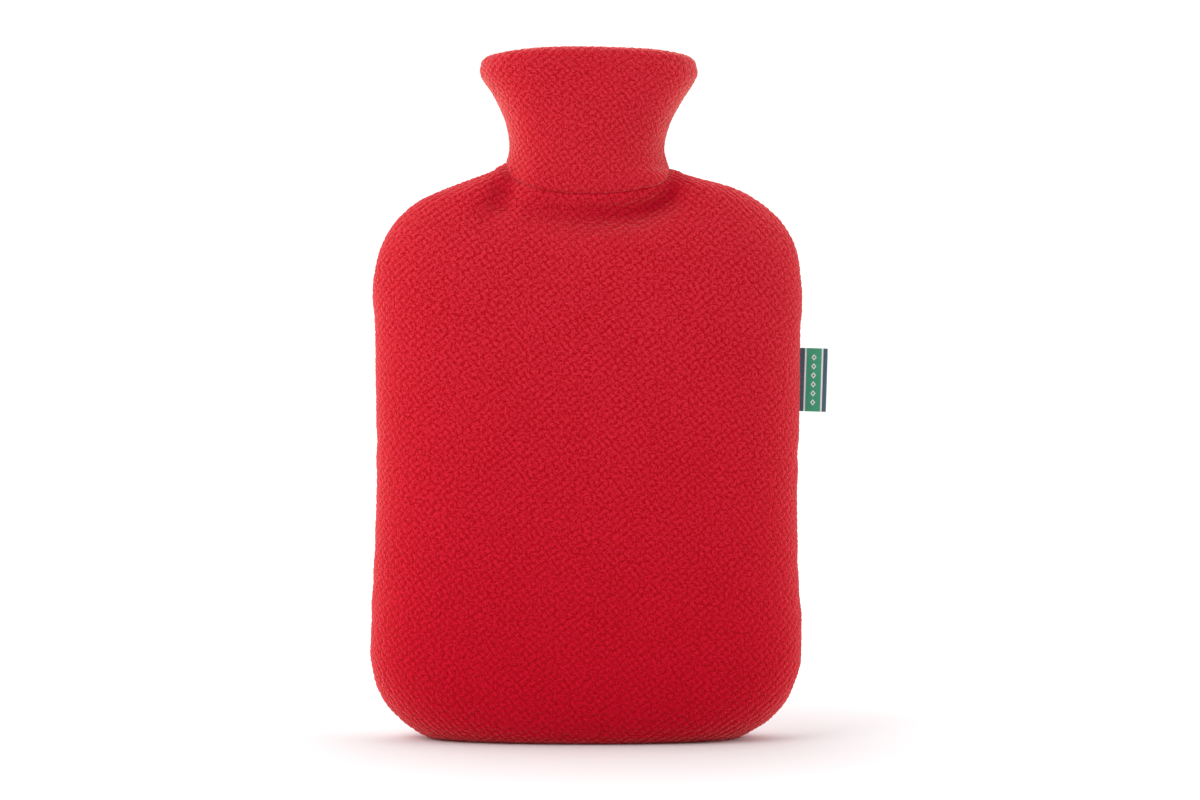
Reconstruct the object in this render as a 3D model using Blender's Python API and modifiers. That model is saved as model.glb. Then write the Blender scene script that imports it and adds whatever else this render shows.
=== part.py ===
"""A fleece cover for a hot water bottle, standing upright with the bottle left out.

Blender 4.5. Run it with  blender --background --python part.py  or from the text editor.
Metres, +Z up. The front faces -Y. The origin is the middle of the flat base.

The cover is a hollow pouch. A front and a back panel are sewn to each other down the sides
and along the base. The collar is a strip of the same fleece, doubled over at its rim. A
folded ribbon label is caught in the side seam.
"""

from collections import namedtuple
from math import cos, exp, pi, radians, sin

import bmesh
import bpy
import numpy as np
from mathutils import Matrix, Vector

MM = 0.001

# Cloth, in millimetres
FLEECE_THICK = 3.0
SEAM_GAP = 0.3  # what two sewn edges leave between them
NECK_GAP = 0.75  # the same at the sloping neckline, measured upright
SEAM_Y = 3.0  # the side and base seams lie a little behind the middle, as the front bellies more

# The skin's outer size, in millimetres, a row for each level section from the base to the rim.
# left and right are half widths, front and back are depths from the seam's plane, and boxy
# says how far the section's ends are squared (2 is an ellipse).
Section = namedtuple("Section", "height left right front back boxy")
SECTIONS = (
    Section(0.0, 76.0, 74.0, 25.0, 19.0, 2.0),  # the flat base
    Section(1.2, 78.8, 76.4, 27.6, 21.4, 2.2),
    Section(4.0, 84.0, 81.4, 30.2, 23.6, 2.5),
    Section(10.0, 92.2, 90.0, 32.8, 25.4, 2.8),
    Section(20.0, 100.2, 98.2, 34.8, 26.8, 3.0),
    Section(34.0, 105.2, 103.6, 36.0, 27.6, 3.1),
    Section(52.0, 105.8, 105.0, 36.6, 28.0, 3.1),  # widest
    Section(80.0, 104.4, 103.2, 37.0, 28.2, 3.1),
    Section(116.0, 102.9, 102.6, 36.8, 28.2, 3.1),  # slight waist
    Section(160.0, 102.9, 103.8, 36.2, 28.0, 3.1),
    Section(196.0, 103.8, 104.5, 35.2, 27.6, 3.1),
    Section(220.0, 104.6, 104.9, 33.6, 26.8, 3.0),
    Section(236.0, 102.2, 103.0, 31.2, 25.6, 2.9),  # shoulders
    Section(248.0, 96.2, 97.4, 28.4, 24.2, 2.8),
    Section(257.0, 88.4, 90.0, 26.4, 23.4, 2.6),  # groove round the root of the neck
    Section(263.0, 80.3, 81.8, 26.4, 23.2, 2.4),
    Section(268.5, 67.0, 70.0, 27.1, 23.8, 2.3),
    Section(273.0, 54.4, 53.6, 27.7, 24.4, 2.4),
    Section(277.0, 44.6, 42.4, 27.8, 24.6, 2.7),
    Section(282.0, 39.6, 38.8, 27.4, 24.4, 3.0),
    Section(289.0, 38.0, 37.6, 27.0, 24.0, 3.2),  # neck
    Section(300.0, 39.9, 40.3, 26.8, 23.9, 3.3),
    Section(311.0, 44.2, 45.7, 27.0, 24.2, 3.3),
    Section(320.0, 49.6, 51.2, 27.4, 24.6, 3.2),
    Section(325.5, 52.2, 53.6, 27.6, 24.8, 3.1),
    Section(329.8, 52.0, 53.2, 27.4, 24.6, 3.0),  # where the rim turns over
)
WIDEST_ROW = 6  # above it the rows are far apart, and each is halved
SHOULDER_ROW = 12  # the highest level ring; above it the rings dip towards the neckline
DEPTH_POWER = 2.2  # how far a section's front and back are flattened
HALF_COLUMNS = 26  # faces across the front, and across the back
SHOULDER_RINGS = 8  # from the shoulder row to the neckline
EDGE_RING = 1.0  # height of a last narrow ring, which keeps the cut edges square

# The neckline: the collar's seam is high at the sides and lower in front and behind.
NECKLINE_LEFT = 281.3
NECKLINE_RIGHT = 278.5
NECKLINE_FRONT = 263.5
NECKLINE_BACK = 271.0
NECKLINE_POWER = 2.3

# Soft hollows pressed into the skin along a route of (x, height) points. share is how much of
# the depth they take, and spread is how wide they are.
Hollow = namedtuple("Hollow", "on_front route share spread")
HOLLOWS = (
    Hollow(True, ((-38.0, 274.0), (-43.0, 268.0), (-48.0, 262.0)), 0.15, 6.0),
    Hollow(True, ((-14.0, 253.5), (3.0, 252.0), (19.0, 254.5)), 0.10, 6.0),
    Hollow(True, ((19.0, 254.5), (33.0, 258.5), (41.0, 264.5), (46.0, 272.0)), 0.20, 6.0),
    Hollow(False, ((-46.0, 272.0), (-26.0, 261.0), (0.0, 258.0), (26.0, 261.0), (46.0, 272.0)),
           0.09, 6.5),
)

# The collar: the strip goes up, turns over at the rim and comes down inside.
COLLAR_FOLD_RADIUS = 4.5  # of the outside of the fold
COLLAR_NECK_THICK = 6.8  # of its two layers, which lie closer below the fold
COLLAR_FOLD_STEPS = 5
COLLAR_OUTER_RINGS = 9
COLLAR_INNER_RINGS = 7
COLLAR_HEM_ABOVE_SEAM = 8.0  # how far above the neckline the inner layer ends
RIM_DIP = 2.3  # how far the rim falls towards its two ends
RIM_DIP_POWER = 3.0

# The side label: a ribbon folded in two, its tails caught in the right side seam.
LABEL_HEIGHT = 31.0
LABEL_MID_HEIGHT = 175.0
LABEL_TIP_X = 117.3
LABEL_TAIL_X = 99.5
LABEL_LEAN_DEG = 1.8
RIBBON_THICK = 0.7
RIBBON_GAP = 0.4  # between its two layers
RIBBON_FOLD_STEPS = 6
LABEL_RUN_STEPS = 3

SEAM_CUTTER_SIZE = 500.0  # larger than the cover

FLEECE_RED = (0.533, 0.012, 0.026)
RIBBON_SLATE = (0.035, 0.062, 0.078)


def clear_scene():
    for thing in list(bpy.data.objects):
        bpy.data.objects.remove(thing, do_unlink=True)


def new_collection(name):
    collection = bpy.data.collections.new(name)
    bpy.context.scene.collection.children.link(collection)
    return collection


def plain_material(name, colour, roughness):
    material = bpy.data.materials.new(name)
    material.use_nodes = True
    shader = material.node_tree.nodes["Principled BSDF"]
    shader.inputs["Base Color"].default_value = (*colour, 1.0)
    shader.inputs["Roughness"].default_value = roughness
    shader.inputs["Metallic"].default_value = 0.0
    return material


def mesh_object(name, bm, collection, material=None):
    """A new object of bm, which is given in millimetres."""
    bmesh.ops.scale(bm, vec=(MM, MM, MM), verts=bm.verts)
    mesh = bpy.data.meshes.new(name)
    bm.to_mesh(mesh)
    bm.free()
    thing = bpy.data.objects.new(name, mesh)
    collection.objects.link(thing)
    if material:
        mesh.materials.append(material)
        mesh.shade_smooth()
        mesh.set_sharp_from_angle(angle=radians(50))
    return thing


# ---------------------------------------------------------------- the skin's shape


COLUMNS = {name: np.array([getattr(section, name) for section in SECTIONS])
           for name in Section._fields}
SLOPES = {name: np.gradient(values) for name, values in COLUMNS.items()}


def read_column(name, row):
    """A column of SECTIONS at a row number that may lie between two rows, read smoothly."""
    values, slopes = COLUMNS[name], SLOPES[name]
    low = np.clip(np.floor(row).astype(int), 0, len(values) - 2)
    t = row - low
    return (
        (2 * t**3 - 3 * t**2 + 1) * values[low]
        + (t**3 - 2 * t**2 + t) * slopes[low]
        + (3 * t**2 - 2 * t**3) * values[low + 1]
        + (t**3 - t**2) * slopes[low + 1]
    )


FINE_ROWS = np.linspace(0, len(SECTIONS) - 1, 600)
FINE_HEIGHTS = read_column("height", FINE_ROWS)


def row_at_height(height):
    return float(np.interp(height, FINE_HEIGHTS, FINE_ROWS))


def half_section_point(left, right, depth, boxy, share):
    """The point at a share of the way along half a section, from its left end to its right."""
    turn = np.linspace(pi, 0, 81)
    along = np.abs(np.cos(turn)) ** (2 / boxy)
    x = np.where(turn > pi / 2, -left * along, right * along)
    y = depth * np.abs(np.sin(turn)) ** (2 / DEPTH_POWER)
    walked = np.concatenate(([0], np.cumsum(np.hypot(np.diff(x), np.diff(y)))))
    wanted = share * walked[-1]
    return np.interp(wanted, walked, x), np.interp(wanted, walked, y)


def distance_to_route(x, height, route):
    """How far a spot on the front or back is from a line of points."""
    nearest = 1e9
    spot = Vector((x, height))
    for start, end in zip(route, route[1:]):
        start, run = Vector(start), Vector(end) - Vector(start)
        share = min(max((spot - start).dot(run) / run.length_squared, 0.0), 1.0)
        nearest = min(nearest, (spot - start - run * share).length)
    return nearest


def depth_kept(x, height, on_front):
    """The share of its depth that the skin keeps under the hollows."""
    kept = 1.0
    for hollow in HOLLOWS:
        if hollow.on_front == on_front:
            away = distance_to_route(x, height, hollow.route) / hollow.spread
            kept = min(kept, 1 - hollow.share * exp(-(away**2)))
    return kept


def skin_point(row, around, inset=0.0, lift=0.0):
    """A point of the skin. around runs 0 to 1 from the left seam, over the front to the right
    seam at 0.5, and back behind. inset moves it inwards, level, and lift moves it up."""
    on_front = around < 0.5
    share = around * 2 if on_front else 2 - around * 2
    height = read_column("height", row)
    x, y = half_section_point(
        read_column("left", row) - inset,
        read_column("right", row) - inset,
        read_column("front" if on_front else "back", row) - inset,
        read_column("boxy", row),
        share,
    )
    y *= depth_kept(x, height, on_front)
    return Vector((x, SEAM_Y - y if on_front else SEAM_Y + y, height + lift))


def ring_turns():
    """How far around each of a ring's points is."""
    return [i / (2 * HALF_COLUMNS) for i in range(2 * HALF_COLUMNS)]


def rim_dip(around):
    """How far the rim has fallen, from nothing at its middle to RIM_DIP at its ends."""
    return RIM_DIP * abs(cos(2 * pi * around)) ** RIM_DIP_POWER


def neckline_height(around):
    """The height of the collar's seam."""
    middle = NECKLINE_FRONT if around < 0.5 else NECKLINE_BACK
    end = NECKLINE_LEFT if cos(2 * pi * around) > 0 else NECKLINE_RIGHT
    return middle + (end - middle) * abs(cos(2 * pi * around)) ** NECKLINE_POWER


def loft(rings):
    """A bmesh of closed rings of points, each joined to the next."""
    bm = bmesh.new()
    rows = [[bm.verts.new(point) for point in ring] for ring in rings]
    for lower, upper in zip(rows, rows[1:]):
        for i in range(len(lower)):
            j = (i + 1) % len(lower)
            bm.faces.new((lower[i], lower[j], upper[j], upper[i]))
    return bm, rows


def boolean_cut(thing, cutter):
    """Takes a cutter's volume out of a thing."""
    cut = thing.modifiers.new("cut by " + cutter.name, "BOOLEAN")
    cut.operation = "DIFFERENCE"
    cut.object = cutter


def box_cutter(name, low, high, collection):
    """A hidden box between two corners, given in millimetres."""
    bm = bmesh.new()
    bmesh.ops.create_cube(bm, size=1.0)
    size = Vector(high) - Vector(low)
    middle = (Vector(high) + Vector(low)) / 2
    bmesh.ops.transform(bm, matrix=Matrix.Translation(middle) @ Matrix.Diagonal((*size, 1)),
                        verts=bm.verts)
    cutter = mesh_object(name, bm, collection)
    cutter.display_type = "WIRE"
    cutter.hide_render = True
    return cutter


# ---------------------------------------------------------------- the pieces


def pouch_rings():
    """Level rings up to the shoulders, then rings that dip more and more to the neckline."""
    turns = ring_turns()
    level_rows = [*range(WIDEST_ROW), *np.arange(WIDEST_ROW, SHOULDER_ROW + 0.5, 0.5)]
    rings = [[skin_point(row, around) for around in turns] for row in level_rows]
    necks = [row_at_height(neckline_height(around) - EDGE_RING) for around in turns]
    tops = [row_at_height(neckline_height(around)) for around in turns]
    for step in range(1, SHOULDER_RINGS + 1):
        share = step / SHOULDER_RINGS
        rings.append([
            skin_point(SHOULDER_ROW + (neck - SHOULDER_ROW) * share, around)
            for around, neck in zip(turns, necks)
        ])
    rings.append([skin_point(top, around) for around, top in zip(turns, tops)])
    return rings


def make_panel(name, keep_front, label_slot, parts, cutters, fleece):
    """Half of the pouch: the whole skin, given its thickness, and cut at the seam."""
    bm, rows = loft(pouch_rings())
    bm.faces.new(reversed(rows[0]))
    panel = mesh_object(name, bm, parts, fleece)
    cloth = panel.modifiers.new("cloth", "SOLIDIFY")
    cloth.thickness = FLEECE_THICK * MM
    cloth.offset = -1
    cloth.use_even_offset = True
    far = SEAM_CUTTER_SIZE
    if keep_front:
        low, high = (-far, SEAM_Y - SEAM_GAP / 2, -far), (far, far, far)
    else:
        low, high = (-far, -far, -far), (far, SEAM_Y + SEAM_GAP / 2, far)
    boolean_cut(panel, box_cutter(name + "_seam", low, high, cutters))
    boolean_cut(panel, label_slot)
    return panel


def make_label_slot(cutters):
    """The room that the label's tails take in the side seam."""
    half_thick = RIBBON_THICK + RIBBON_GAP / 2 + SEAM_GAP
    half_height = LABEL_HEIGHT / 2 + SEAM_GAP
    slot = box_cutter(
        "label_slot",
        (LABEL_TAIL_X - 8, -half_thick, -half_height),
        (LABEL_TIP_X, half_thick, half_height),
        cutters,
    )
    slot.matrix_world = label_placement()
    return slot


def label_placement():
    """Leans the label in the seam's plane, about its root."""
    root = Vector((LABEL_TAIL_X, SEAM_Y, LABEL_MID_HEIGHT)) * MM
    lean = Matrix.Rotation(radians(LABEL_LEAN_DEG), 4, "Y")
    to_root = Matrix.Translation(Vector((LABEL_TAIL_X, 0, 0)) * MM)
    return Matrix.Translation(root) @ lean @ to_root.inverted()


def make_collar(parts, fleece):
    """The doubled strip: up outside, over the rim, down inside to its hem."""
    turns = ring_turns()
    rim_row = len(SECTIONS) - 1
    dips = [rim_dip(around) for around in turns]
    seams, lows, hems = (
        [row_at_height(neckline_height(around) + above) for around in turns]
        for above in (NECK_GAP, NECK_GAP + EDGE_RING, COLLAR_HEM_ABOVE_SEAM)
    )
    rings = [[skin_point(seam, around) for around, seam in zip(turns, seams)]]
    for step in range(COLLAR_OUTER_RINGS):
        share = step / COLLAR_OUTER_RINGS
        rings.append([
            skin_point(low + (rim_row - low) * share, around, 0, -dip * share**2)
            for around, low, dip in zip(turns, lows, dips)
        ])
    for step in range(COLLAR_FOLD_STEPS + 1):
        bend = pi * step / COLLAR_FOLD_STEPS
        inset = COLLAR_FOLD_RADIUS * (1 - cos(bend))
        lift = COLLAR_FOLD_RADIUS * sin(bend)
        rings.append([
            skin_point(rim_row, around, inset, lift - dip) for around, dip in zip(turns, dips)
        ])
    for step in range(1, COLLAR_INNER_RINGS + 1):
        share = step / COLLAR_INNER_RINGS
        loosened = (1 - share) ** 2
        inset = COLLAR_NECK_THICK + (2 * COLLAR_FOLD_RADIUS - COLLAR_NECK_THICK) * loosened
        rings.append([
            skin_point(rim_row + (hem - rim_row) * share, around, inset, -dip * loosened)
            for around, hem, dip in zip(turns, hems, dips)
        ])
    bm, _ = loft(rings)
    collar = mesh_object("collar", bm, parts, fleece)
    cloth = collar.modifiers.new("cloth", "SOLIDIFY")
    cloth.thickness = FLEECE_THICK * MM
    cloth.offset = -1
    cloth.use_even_offset = True
    return collar


def make_label(parts, ribbon):
    """A strip of ribbon folded in two at its outer end."""
    radius = (RIBBON_THICK + RIBBON_GAP) / 2
    fold_x = LABEL_TIP_X - radius - RIBBON_THICK / 2
    run = [LABEL_TAIL_X + (fold_x - LABEL_TAIL_X) * i / LABEL_RUN_STEPS
           for i in range(LABEL_RUN_STEPS)]
    route = [(x, -radius) for x in run]
    for step in range(RIBBON_FOLD_STEPS + 1):
        bend = pi * step / RIBBON_FOLD_STEPS
        route.append((fold_x + radius * sin(bend), -radius * cos(bend)))
    route += [(x, radius) for x in reversed(run)]
    bm = bmesh.new()
    edges = [
        [bm.verts.new((x, y, z)) for x, y in route]
        for z in (-LABEL_HEIGHT / 2, LABEL_HEIGHT / 2)
    ]
    for i in range(len(route) - 1):
        bm.faces.new((edges[0][i], edges[0][i + 1], edges[1][i + 1], edges[1][i]))
    label = mesh_object("side_label", bm, parts, ribbon)
    label.matrix_world = label_placement()
    cloth = label.modifiers.new("cloth", "SOLIDIFY")
    cloth.thickness = RIBBON_THICK * MM
    cloth.offset = 0
    cloth.use_even_offset = True
    return label


def main():
    clear_scene()
    parts = new_collection("Hot water bottle cover")
    cutters = new_collection("Cutters")
    fleece = plain_material("fleece", FLEECE_RED, 0.95)
    ribbon = plain_material("ribbon", RIBBON_SLATE, 0.6)
    label_slot = make_label_slot(cutters)
    make_panel("front_panel", True, label_slot, parts, cutters, fleece)
    make_panel("back_panel", False, label_slot, parts, cutters, fleece)
    make_collar(parts, fleece)
    make_label(parts, ribbon)


if __name__ == "__main__":
    main()
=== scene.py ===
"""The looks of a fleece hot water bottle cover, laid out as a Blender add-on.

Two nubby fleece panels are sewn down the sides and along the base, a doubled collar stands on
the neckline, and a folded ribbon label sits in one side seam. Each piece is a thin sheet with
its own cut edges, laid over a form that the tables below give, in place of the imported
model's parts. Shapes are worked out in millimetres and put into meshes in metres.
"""

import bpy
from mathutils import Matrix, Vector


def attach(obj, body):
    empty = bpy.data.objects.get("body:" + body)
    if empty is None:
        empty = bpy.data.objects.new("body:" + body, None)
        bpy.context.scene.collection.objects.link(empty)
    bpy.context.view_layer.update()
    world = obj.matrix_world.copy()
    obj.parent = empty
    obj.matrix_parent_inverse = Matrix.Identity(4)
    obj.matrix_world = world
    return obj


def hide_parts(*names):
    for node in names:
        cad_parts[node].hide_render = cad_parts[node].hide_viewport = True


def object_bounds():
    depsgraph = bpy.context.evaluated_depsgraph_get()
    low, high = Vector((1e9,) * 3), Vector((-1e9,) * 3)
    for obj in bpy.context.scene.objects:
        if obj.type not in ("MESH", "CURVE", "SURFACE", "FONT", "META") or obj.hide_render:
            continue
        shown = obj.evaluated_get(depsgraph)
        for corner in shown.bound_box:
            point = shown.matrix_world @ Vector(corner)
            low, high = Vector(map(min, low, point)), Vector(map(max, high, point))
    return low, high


bl_info = {
    "name": "Fleece bottle cover",
    "version": (1, 0, 0),
    "blender": (4, 5, 0),
    "location": "3D View > Sidebar > Bottle cover",
    "description": "Sews the fleece panels, the collar and the ribbon label, and sets the stage",
    "category": "Object",
}

from collections import namedtuple
from math import pi, radians

import bpy
import numpy as np
from bpy.props import FloatProperty, FloatVectorProperty, IntProperty, PointerProperty
from mathutils import Matrix, Vector

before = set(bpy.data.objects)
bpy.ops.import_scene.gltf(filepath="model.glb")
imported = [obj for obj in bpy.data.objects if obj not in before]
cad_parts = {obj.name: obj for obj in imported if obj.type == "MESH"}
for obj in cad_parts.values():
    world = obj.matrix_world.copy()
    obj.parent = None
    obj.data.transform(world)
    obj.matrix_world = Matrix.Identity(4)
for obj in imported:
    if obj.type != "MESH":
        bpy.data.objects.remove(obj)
CAD_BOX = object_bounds()

MM = 0.001

# ---- the form of the cover

FLEECE_THICK = 3.0
SEAM_Y = 3.0  # the plane of the side and base seams
SEAM_GAP = -0.06  # from that plane to a sewn edge: below 0, so the two edges press together
SEAM_GAP_DEPTH = 8.0  # how deep the skin is where it no longer follows that gap
NECK_GAP = -0.12  # from the panels' top edges up to the collar's lower edge: they press too

# Outer size of the skin: a row for each level section. left and right are half widths, front
# and back are depths from the seam's plane, and boxy says how far the ends are squared.
Section = namedtuple("Section", "height left right front back boxy")
SECTIONS = [Section(*row) for row in (
    (0, 76, 74, 25, 19, 2),
    (1.2, 78.8, 76.4, 27.6, 21.4, 2.2),
    (4, 84, 81.4, 30.2, 23.6, 2.5),
    (10, 92.2, 90, 32.8, 25.4, 2.8),
    (20, 100.2, 98.2, 34.8, 26.8, 3),
    (34, 105.2, 103.6, 36, 27.6, 3.1),
    (52, 105.8, 105, 36.6, 28, 3.1),
    (80, 104.4, 103.2, 37, 28.2, 3.1),
    (116, 102.9, 102.6, 36.8, 28.2, 3.1),
    (160, 102.9, 103.8, 36.2, 28, 3.1),
    (196, 103.8, 104.5, 35.2, 27.6, 3.1),
    (220, 104.6, 104.9, 33.6, 26.8, 3),
    (236, 102.2, 103, 31.2, 25.6, 2.9),
    (248, 96.2, 97.4, 28.4, 24.2, 2.8),
    (257, 88.4, 90, 26.4, 23.4, 2.6),
    (263, 80.3, 81.8, 26.4, 23.2, 2.4),
    (268.5, 67, 70, 27.1, 23.8, 2.3),
    (273, 54.4, 53.6, 27.7, 24.4, 2.4),
    (277, 44.6, 42.4, 27.8, 24.6, 2.7),
    (282, 39.6, 38.8, 27.4, 24.4, 3),
    (289, 38, 37.6, 27, 24, 3.2),
    (300, 39.9, 40.3, 26.8, 23.9, 3.3),
    (311, 44.2, 45.7, 27, 24.2, 3.3),
    (320, 49.6, 51.2, 27.4, 24.6, 3.2),
    (325.5, 52.2, 53.6, 27.6, 24.8, 3.1),
    (329.8, 52, 53.2, 27.4, 24.6, 3),
)]
RIM_ROW = len(SECTIONS) - 1
SHOULDER_ROW = 12
DEPTH_POWER = 2.2  # 2 makes the depth an ellipse's, and more fills it out
BASE_SHRINK = 23.0  # how much shorter the base seam is at each end than the base

NECKLINE_LEFT = 281.3
NECKLINE_RIGHT = 278.5
NECKLINE_MIDDLE = {"front": 263.5, "back": 271.0}
NECKLINE_POWER = 2.3

# Soft hollows in the skin. Each follows a route of points, across and up, that also say what
# share of the depth it takes there.
Hollow = namedtuple("Hollow", "spread route")
HOLLOWS = {
    "front": (
        Hollow(8.5, ((-37.5, 272, 0.20), (-39, 266, 0.23), (-41.5, 260.5, 0.20),
                     (-46, 255, 0.10))),
        Hollow(7.5, ((-36, 256, 0.03), (-18, 254.5, 0.10), (-2, 253.5, 0.17),
                     (10, 253.5, 0.22), (20, 254, 0.25), (28, 256, 0.28),
                     (35, 259.5, 0.30), (40, 263.5, 0.31), (43, 270, 0.26))),
    ),
    "back": (
        Hollow(6.5, ((-46, 272, 0.09), (-26, 261, 0.09), (0, 258, 0.09),
                     (26, 261, 0.09), (46, 272, 0.09))),
    ),
}

COLLAR_FOLD_RADIUS = 4.5
COLLAR_NECK_THICK = 6.8  # of both layers
COLLAR_HEM_ABOVE_SEAM = 8.0
RIM_DIP = 2.3  # how much lower the rim is at its left and right ends
RIM_DIP_POWER = 3.0

LABEL_HEIGHT = 31.0
LABEL_MID_HEIGHT = 175.0
LABEL_TIP_X = 117.3
LABEL_TAIL_X = 99.5
LABEL_LEAN_DEG = 1.8
LABEL_FREE_X = 104.0  # where it starts to curl and wave, which grow towards its tip
LABEL_FREE_LENGTH = 13.0
LABEL_CURL = 0.32
LABEL_WAVE = 0.1
LABEL_WAVE_TURN, LABEL_WAVE_START = 0.42, 0.8  # radians a millimetre, and at its middle
RIBBON_THICK = 0.7
RIBBON_GAP = 0.4
LABEL_SLIT = RIBBON_THICK + RIBBON_GAP / 2 + 0.15  # half the opening in the seam beside it
LABEL_SLIT_END = 2.5  # how far above and below the label the seam has closed again

# ---- sewing

EDGE_ROLL = 0.6  # how far in a sewn edge turns
EDGE_ROLL_WIDTH = 1.4
NECK_TURN = 4.0  # how far from the neck seam the cloth comes round to face as the seam does
SEAM_PULL = 0.45  # how far the thread draws the cloth in beside a seam
SEAM_PULL_SPREAD = 3.6
NECK_RIDGE = 0.55  # how far the neck seam's allowance lifts the cloth below it
NECK_RIDGE_BELOW = 4.2
NECK_RIDGE_SPREAD = 2.6
PUCKER_HEIGHT = 0.34
PUCKER_LENGTH = 9.0
PUCKER_SPREAD = 13.0
PUCKER_SLANT = 0.7
PUCKER_STRETCH = 0.25  # how fast they change away from the seam, against along it
PUCKER_FROM_NECK = 8.0  # how far from the neck seam they are at their full height
SAG_HEIGHT = 0.45  # slow unevenness of the cloth
SAG_LENGTH = 42.0
SAG_FROM_EDGE = 20.0  # how far from a cut edge, and from the floor, it has its full height
SAG_FROM_FLOOR = 30.0
COLLAR_SAG_SHARE = 0.5  # of the panels' height and length
COLLAR_SAG_FROM_EDGE = 12.0
EDGE_NUBS = 0.35  # share of the nubs' height at a cut edge, and how far in it is all there
EDGE_NUBS_WIDTH = 2.5
NUB_MIDDLE = 0.4  # the nub field's mean: nubs stand above it, and pits sink below
NECK_SEAM_SHADE = 0.33  # how much painted shade the neck seam's groove gets, as for a hollow, and how wide
NECK_SEAM_SHADE_SPREAD = 0.8
CLOTH_APART = 500.0  # between the places in the cloth that two pieces are cut from

# Distances between the mesh's points, and how many finer steps follow each cut edge
PANEL_STEP = 1.04
COLLAR_STEP = 0.84
BASE_STEP = 2.0
EDGE_STEP = 0.42
EDGE_STEPS = 4
SHARP_EDGE_DEG = 50.0  # a cut edge shows as one, and the nubs don't

# Lengths over the form that are shared out in those steps, and numbers of steps
PANEL_GIRTH = 245.0
BASE_DEPTH = 24.0
SHOULDER_TO_NECKLINE = 78.0
COLLAR_GIRTH = 232.0
COLLAR_HEIGHT = 66.0
COLLAR_FOLD_POINTS = 18
COLLAR_INNER_ROWS = 50
LABEL_RUN_POINTS = 45
LABEL_FOLD_POINTS = 16
LABEL_ROWS = 89


def eased(t):
    """From 0 to 1 with a soft start and end."""
    return t * t * (3 - 2 * t)


def fading(away, spread):
    """1 on the spot, and softly less with the distance from it."""
    return np.exp(-((away / spread) ** 2))


def unit(vectors):
    return vectors / np.maximum(np.linalg.norm(vectors, axis=-1, keepdims=True), 1e-9)


def read_column(name, row):
    """A column of SECTIONS at row numbers that may lie between two rows. Rows from -1 to 0 run
    across the flat base, from its seam out to its rim."""
    values = np.array([getattr(section, name) for section in SECTIONS])
    slopes = np.gradient(values)
    held = np.clip(row, 0, RIM_ROW)
    low = np.clip(np.floor(held).astype(int), 0, RIM_ROW - 1)
    t = held - low
    found = (
        (2 * t**3 - 3 * t**2 + 1) * values[low]
        + (t**3 - 2 * t**2 + t) * slopes[low]
        + (3 * t**2 - 2 * t**3) * values[low + 1]
        + (t**3 - t**2) * slopes[low + 1]
    )
    inside = np.clip(-row, 0, 1)
    if name in ("left", "right"):
        return found - BASE_SHRINK * inside
    if name in ("front", "back"):
        return found * (1 - inside)
    return found


def row_at_height(height):
    rows = np.linspace(0, RIM_ROW, 2500)
    return np.interp(height, read_column("height", rows), rows)


def turn_table(side, rows, shares):
    """For each row, the turn of the section's ellipse at equal shares of its length."""
    turn = np.linspace(pi, 0, 721)
    table = np.empty((len(rows), len(shares)))
    widths = [read_column(name, rows) for name in ("left", "right", side, "boxy")]
    for i, (left, right, depth, boxy) in enumerate(zip(*widths)):
        along = np.abs(np.cos(turn)) ** (2 / boxy)
        x = np.where(turn > pi / 2, -left * along, right * along)
        y = depth * np.abs(np.sin(turn)) ** (2 / DEPTH_POWER)
        so_far = np.concatenate(([0], np.cumsum(np.hypot(np.diff(x), np.diff(y)))))
        table[i] = np.interp(shares * so_far[-1], so_far, turn)
    return table


TABLE_ROWS = np.linspace(-1, RIM_ROW, 1041)
TABLE_SHARES = np.linspace(0, 1, 361)
TURNS = {side: turn_table(side, TABLE_ROWS, TABLE_SHARES) for side in ("front", "back")}


def between(table, i, j, next_i, next_j, part_i, part_j):
    """A table read between two rows and two columns."""
    near = table[i, j] * (1 - part_i) + table[next_i, j] * part_i
    far = table[i, next_j] * (1 - part_i) + table[next_i, next_j] * part_i
    return near * (1 - part_j) + far * part_j


def turn_at(side, row, share):
    """The turn of a section's ellipse at any row and share of its length."""
    r = np.clip((row + 1) / (RIM_ROW + 1), 0, 1) * (len(TABLE_ROWS) - 1)
    c = np.clip(share, 0, 1) * (len(TABLE_SHARES) - 1)
    i = np.minimum(r.astype(int), len(TABLE_ROWS) - 2)
    j = np.minimum(c.astype(int), len(TABLE_SHARES) - 2)
    return between(TURNS[side], i, j, i + 1, j + 1, r - i, c - j)


def hollowed(x, height, side):
    """How much of the skin's depth its hollows take away."""
    taken = np.zeros(x.shape)
    for hollow in HOLLOWS[side]:
        for (x0, z0, from_share), (x1, z1, to_share) in zip(hollow.route, hollow.route[1:]):
            run_x, run_z = x1 - x0, z1 - z0
            part = ((x - x0) * run_x + (height - z0) * run_z) / (run_x**2 + run_z**2)
            part = np.clip(part, 0, 1)
            away = np.hypot(x - x0 - run_x * part, height - z0 - run_z * part)
            share = from_share + (to_share - from_share) * part
            taken = np.maximum(taken, share * fading(away, hollow.spread))
    return taken


def seam_gap(x, height):
    """From the seam's plane to a sewn edge: wider where the label's tails lie between them."""
    near = np.abs(height - LABEL_MID_HEIGHT) - LABEL_HEIGHT / 2
    opened = eased(np.clip(1 - near / LABEL_SLIT_END, 0, 1) * (x > 0))
    return SEAM_GAP + (LABEL_SLIT - SEAM_GAP) * opened


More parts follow.
